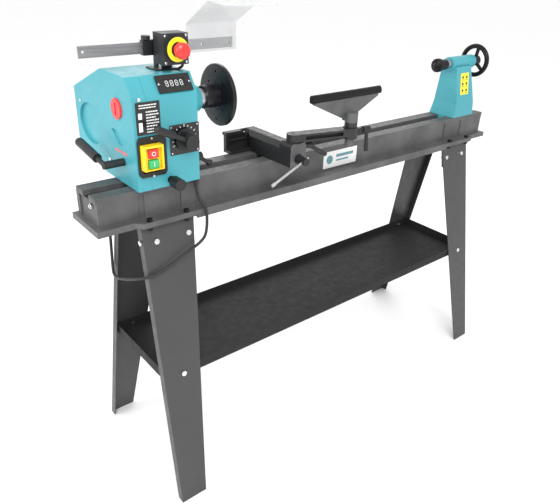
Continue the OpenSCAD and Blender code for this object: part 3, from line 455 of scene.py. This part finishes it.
class Panel:
    """A flat place on the machine: pieces are drawn on it in millimetres and stand out along its normal."""

    def __init__(self, at, right, up, body, slot):
        self.at = at
        self.right = Vector(right).normalized()
        self.up = Vector(up).normalized()
        self.out = self.right.cross(self.up)
        self.body = body
        self.slot = slot

    def point(self, x, y, height):
        return self.at + (x * self.right + y * self.up + height * self.out) / 1000

    def plates(self, name, outlines, look, thick, lift=0.0, hole=None, edge=0.12):
        """Thin plates of the given outlines in one piece, chamfered in front, with an optional hole."""
        mesh = bpy.data.meshes.new(name)
        bm = bmesh.new()
        for outline in outlines:
            centre = Vector((sum(x for x, _ in outline), sum(y for _, y in outline))) / len(outline)
            inner = [centre + (Vector(p) - centre) * (1 - 2 * edge / max((Vector(p) - centre).length, 1))
                     for p in outline]
            rings = [
                [bm.verts.new(self.point(x, y, lift)) for x, y in outline],
                [bm.verts.new(self.point(x, y, lift + thick - edge)) for x, y in outline],
                [bm.verts.new(self.point(p.x, p.y, lift + thick)) for p in inner],
            ]
            if hole:
                about = Vector(hole[:2])
                cut = [about + (Vector(p) - about).normalized() * hole[2] for p in outline]
                rings.append([bm.verts.new(self.point(p.x, p.y, lift + thick)) for p in cut])
                rings.append([bm.verts.new(self.point(p.x, p.y, lift)) for p in cut])
            for one, two in zip(rings, rings[1:]):
                for k in range(len(outline)):
                    n = (k + 1) % len(outline)
                    bm.faces.new((one[k], one[n], two[n], two[k]))
            if hole:
                for k in range(len(outline)):
                    n = (k + 1) % len(outline)
                    bm.faces.new((rings[-1][k], rings[-1][n], rings[0][n], rings[0][k]))
            else:
                bm.faces.new(rings[-1])
                bm.faces.new(rings[0][::-1])
        bm.to_mesh(mesh)
        bm.free()
        return piece(name, mesh, look, self.body)

    def screw(self, name, x, y, radius, lift=0.0, look="chrome"):
        """Pan head with a cross recess."""
        self.plates(name, [moved(circle(radius, 20), x, y)], look, radius * 0.5, lift, edge=radius * 0.2)
        arm = radius * 1.1
        thin = radius * 0.28
        cross = [moved(rectangle(arm, thin, thin * 0.2), x, y), moved(rectangle(thin, arm, thin * 0.2), x, y)]
        self.plates(name + "_recess", cross, "ink", 0.12, lift + radius * 0.5, edge=0.02)


def text_rows(width, height, rows, seed):
    """Rows of dashes that stand for lines of print, about the origin."""
    chance = random.Random(seed)
    dashes = []
    for row in range(rows):
        y = height / 2 - (row + 0.5) * height / rows
        x = -width / 2
        end = width / 2 - (chance.random() * width * 0.35 if row % 3 == 2 else 0)
        while x < end - 2:
            dash = min(chance.uniform(2.5, 7), end - x)
            dashes.append(moved(rectangle(dash, height / rows * 0.42, 0.15), x + dash / 2, y))
            x += dash + 1.1
    return dashes


def surface_point(node, start, along):
    """Where a ray from start first meets the node."""
    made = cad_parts[node]
    inward = made.matrix_world.inverted()
    origin = inward @ Vector(start)
    direction = (inward.to_3x3() @ Vector(along)).normalized()
    _, spot, _, _ = made.ray_cast(origin, direction)
    return made.matrix_world @ spot


# ---------------------------------------------------------------- labels, screws and small fittings

HEAD_X = -649
HEAD_FRONT_Y = -74
FRONT_LEAN = 2 / 210
BED_TOP = 863
SWITCH_Z = 943
ESTOP_X = -521
ESTOP_Z = 1163
SEGMENTS = {"a": (0, 6, 6, 1.3), "b": (3, 3, 1.3, 5), "c": (3, -3, 1.3, 5), "d": (0, -6, 6, 1.3),
            "e": (-3, -3, 1.3, 5), "f": (-3, 3, 1.3, 5), "g": (0, 0, 6, 1.3)}


def upright_panel(x, y, z, body, slot):
    """A face that looks straight out to the front."""
    return Panel(on_bed(x, y, z), (1, 0, 0), (0, 0, 1), body, slot)


def front_panel(x, z):
    """The headstock's front face, which leans back a little."""
    y = HEAD_FRONT_Y + (z - BED_TOP - 2) * FRONT_LEAN
    return Panel(on_bed(x, y - 0.05, z), (1, 0, 0), (0, FRONT_LEAN, 1), "headstock", "black_plastic")


def add_headstock_labels():
    info = front_panel(-613, 1030)
    info.plates("info_plate", [rectangle(58, 71, 2)], "ink", 0.8)
    heading = [moved(row, 0, 26) for row in text_rows(42, 11, 2, 5)]
    rows = [moved(row, 10, -8) for row in text_rows(30, 50, 8, 3)]
    blocks = [moved(rectangle(9, 13, 1), -19, 6), moved(rectangle(9, 20, 1), -19, -18)]
    info.plates("info_print", heading + rows + blocks, "white", 0.1, 0.8, edge=0.02)
    dial = front_panel(-526, 971)
    dial.plates("dial_plate", [moved(rectangle(78, 70, 3), 1, 0)], "ink", 1.0, hole=(0, 0, 15))
    ticks = []
    for k in range(13):
        end = 34 if k % 3 == 0 else 32
        ticks.append(turned_by([(28, -0.8), (end, -0.8), (end, 0.8), (28, 0.8)], 205 - k * 19.2))
    dial.plates("dial_ticks", ticks, "white", 0.1, 1.0, edge=0.02)
    for k, (x, y) in enumerate(((-33, -30), (35, -30), (-33, 30), (35, 30))):
        dial.screw("dial_screw_%d" % k, x, y, 2.2, 1.0)
    cover = Panel(on_bed(HEAD_X - 0.05, 0, 941), (0, -1, 0), (0, 0, 1), "headstock", "black_plastic")
    half = [(-31, 0), (-20, -6), (-20, -2.2), (20, -2.2), (20, -6)]
    arrow = half + [(-x, -y) for x, y in half]
    cover.plates("turn_arrow", [arrow], "red_print", 0.2, edge=0.03)


def add_display():
    lean = math.atan2(28, 39)
    up = Vector((0, math.sin(lean), math.cos(lean)))
    at = on_bed(-540, HEAD_FRONT_Y, BED_TOP + 214) + up * 0.022
    panel = Panel(at, (1, 0, 0), up, "headstock", "black_plastic")
    digits = []
    for place in (-18, -6, 6, 18):
        for x, y, w, h in SEGMENTS.values():
            digits.append(moved(rectangle(w * 0.85, h * 0.85, 0.4), place + x, y))
    panel.plates("display_digits", digits, "digits", 0.15, 2.05, edge=0.03)
    for k, x in enumerate((-38, 38)):
        panel.screw("display_screw_%d" % k, x, 0, 2.4, 3.4)


def add_switch_details():
    plate = upright_panel(-611, -79.1, SWITCH_Z, "headstock", "black_plastic")
    for k, y in enumerate((44, -44)):
        plate.screw("switch_screw_%d" % k, 0, y, 2.6)
    stop = upright_panel(-615, -92, SWITCH_Z + 12.5, "stop_button", "red_plastic")
    outer = circle(5, 28)
    inner = circle(3.6, 28)
    around = [(k, (k + 1) % 28) for k in range(28)]
    ring = [[outer[a], outer[b], inner[b], inner[a]] for a, b in around]
    stop.plates("stop_mark", ring, "white", 0.15, edge=0.0)
    start = upright_panel(-615, -92, SWITCH_Z - 11.5, "start_button", "green_plastic")
    start.plates("start_mark", [rectangle(1.6, 10, 0.4)], "white", 0.15, edge=0.02)


ESTOP_CABLE = [
    (-494, -22, 1136), (-492, -22, 1129), (-493, -21, 1122), (-500, -19, 1117), (-508, -17, 1114.2),
]


def add_estop_details():
    front = upright_panel(ESTOP_X, -53, ESTOP_Z, "headstock", "yellow_plastic")
    front.plates("estop_ring", [circle(26, 48)], "yellow_print", 0.6, hole=(0, 0, 16), edge=0.15)
    face = upright_panel(ESTOP_X, -45, ESTOP_Z, "headstock", "black_plastic")
    for k, (x, y) in enumerate(((-26, -28), (26, -28), (-26, 28), (26, 28))):
        face.screw("estop_screw_%d" % k, x, y, 2.8)
    path = smooth_path([on_bed(*p) for p in ESTOP_CABLE], 5)
    piece("estop_cable", tube_mesh("estop_cable", path, 0.003, 12), "rubber", "headstock")


def add_banjo_cap():
    """Bare cast face on the front end of the banjo's arm."""
    end = upright_panel(-223.5, -131.05, 894.3, "banjo", "dark_iron")
    half = [(26, -30.5), (26, 0), (26, 22), (19, 30)]
    face = half + [(0, 30)] + [(-x, y) for x, y in reversed(half)] + [(0, -30.5)]
    dense = []
    for (x0, y0), (x1, y1) in zip(face, face[1:] + face[:1]):
        dense += [(x0 + (x1 - x0) * k / 5, y0 + (y1 - y0) * k / 5) for k in range(5)]
    end.plates("banjo_end_face", [dense], "rest", 0.8, hole=(0, -11, 12.8), edge=0.3)


def add_bed_and_tailstock_labels():
    bed = upright_panel(16, -53.05, 822.5, "stand", "grey_paint")
    bed.plates("bed_label", [rectangle(138, 50, 2)], "white", 0.3)
    bed.plates("bed_mark", [moved(circle(13, 32), -44, 0)], "mark", 0.08, 0.3, edge=0.02)
    bars = [moved(rectangle(72, 9, 2), 18, 8), moved(rectangle(52, 5, 1.5), 8, -6)]
    bed.plates("bed_mark_bars", bars, "mark", 0.08, 0.3, edge=0.02)
    low, high = (surface_point("tailstock_body", on_bed(620, -200, z), (0, 1, 0)) for z in (945, 1005))
    up = (high - low).normalized()
    tail = Panel((low + high) / 2, (1, 0, 0), up, "tailstock", "yellow_plastic")
    tail.plates("tail_label", [rectangle(46, 72, 2)], "yellow_print", 0.5, 0.05)
    marks = [moved(circle(5, 12), x, y) for x in (-11, 11) for y in (-22, 0, 22)]
    marks += [moved(rectangle(14, 2, 0.5), x, y - 8.5) for x in (-11, 11) for y in (-22, 0, 22)]
    tail.plates("tail_print", marks, "ink", 0.08, 0.55, edge=0.02)


# ---------------------------------------------------------------- mains lead

CORD_D = 0.0075
CORD_ROUTE = [
    (-494, -66, 845.8), (-493, -69, 828), (-490, -78, 810), (-486, -90, 799), (-485, -95, 786),
    (-485, -97, 768), (-487, -98, 745), (-493, -98.5, 724), (-507, -99, 711), (-529, -100, 701),
    (-558, -101, 690), (-587, -101.5, 677), (-614, -102, 667), (-640, -101, 660.5), (-662, -92, 655),
    (-673, -74, 648), (-676, -45, 634), (-676, -10, 618), (-673, 25, 602), (-669, 58, 590), (-665, 83, 588),
    (-660.5, 96, 602), (-658.5, 99, 630), (-657.5, 99, 665), (-657, 98, 700), (-656.5, 97, 740),
    (-656, 96, 775), (-655.5, 93, 797), (-654, 83, 808), (-650, 70, 808), (-642, 61, 802),
    (-625, 58.5, 797.5), (-600, 58.5, 796.4),
    (-560, 58.5, 796.4), (-530, 58.5, 796.4), (-505, 59.5, 797.5), (-478, 65, 803), (-450, 77, 813.5),
    (-425, 88, 822), (-400, 95, 825),
]


COIL_AT = (-400, 785)
COIL_INNER_MM = 40
COIL_OUTER_MM = 47.8
COIL_Y_MM = (95, 109)
COIL_TURNS = 4.25
FIRST_LAYER_TURNS = 1.9
PLUG_LEAD = [(-349, 99.5, 772), (-346, 101.3, 763), (-345, 102, 757)]


def coil_points():
    """The lead's turns: two side by side, then the rest wound back over them."""
    points = []
    steps = int(COIL_TURNS * 24)
    for i in range(1, steps + 1):
        turn = COIL_TURNS * i / steps
        climb = min(max((turn - FIRST_LAYER_TURNS) / 0.3, 0), 1)
        climb = climb * climb * (3 - 2 * climb)
        radius = COIL_INNER_MM + (COIL_OUTER_MM - COIL_INNER_MM) * climb
        along = turn / FIRST_LAYER_TURNS
        if turn >= FIRST_LAYER_TURNS:
            along = max(1 - (turn - FIRST_LAYER_TURNS) / 2.0, 0.25)
        y = COIL_Y_MM[0] + (COIL_Y_MM[1] - COIL_Y_MM[0]) * along
        angle = math.radians(90 - 360 * turn)
        points.append(on_bed(COIL_AT[0] + radius * math.cos(angle), y, COIL_AT[1] + radius * math.sin(angle)))
    return points


def add_cord():
    route = smooth_path([on_bed(*p) for p in CORD_ROUTE], 6)
    turns = coil_points()
    lead = smooth_path([turns[-1], *[on_bed(*p) for p in PLUG_LEAD]], 5)[1:]
    points = route + turns + lead
    cord = piece("mains_lead", tube_mesh("mains_lead", points, CORD_D / 2, 14), "rubber", "stand")
    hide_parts("power_cord", "cord_coil")
    cord.parent = None
    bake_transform(cord)


add_camera()
add_stage()
add_cord()
add_headstock_labels()
add_display()
add_switch_details()
add_estop_details()
add_bed_and_tailstock_labels()
add_banjo_cap()
paint_nodes()
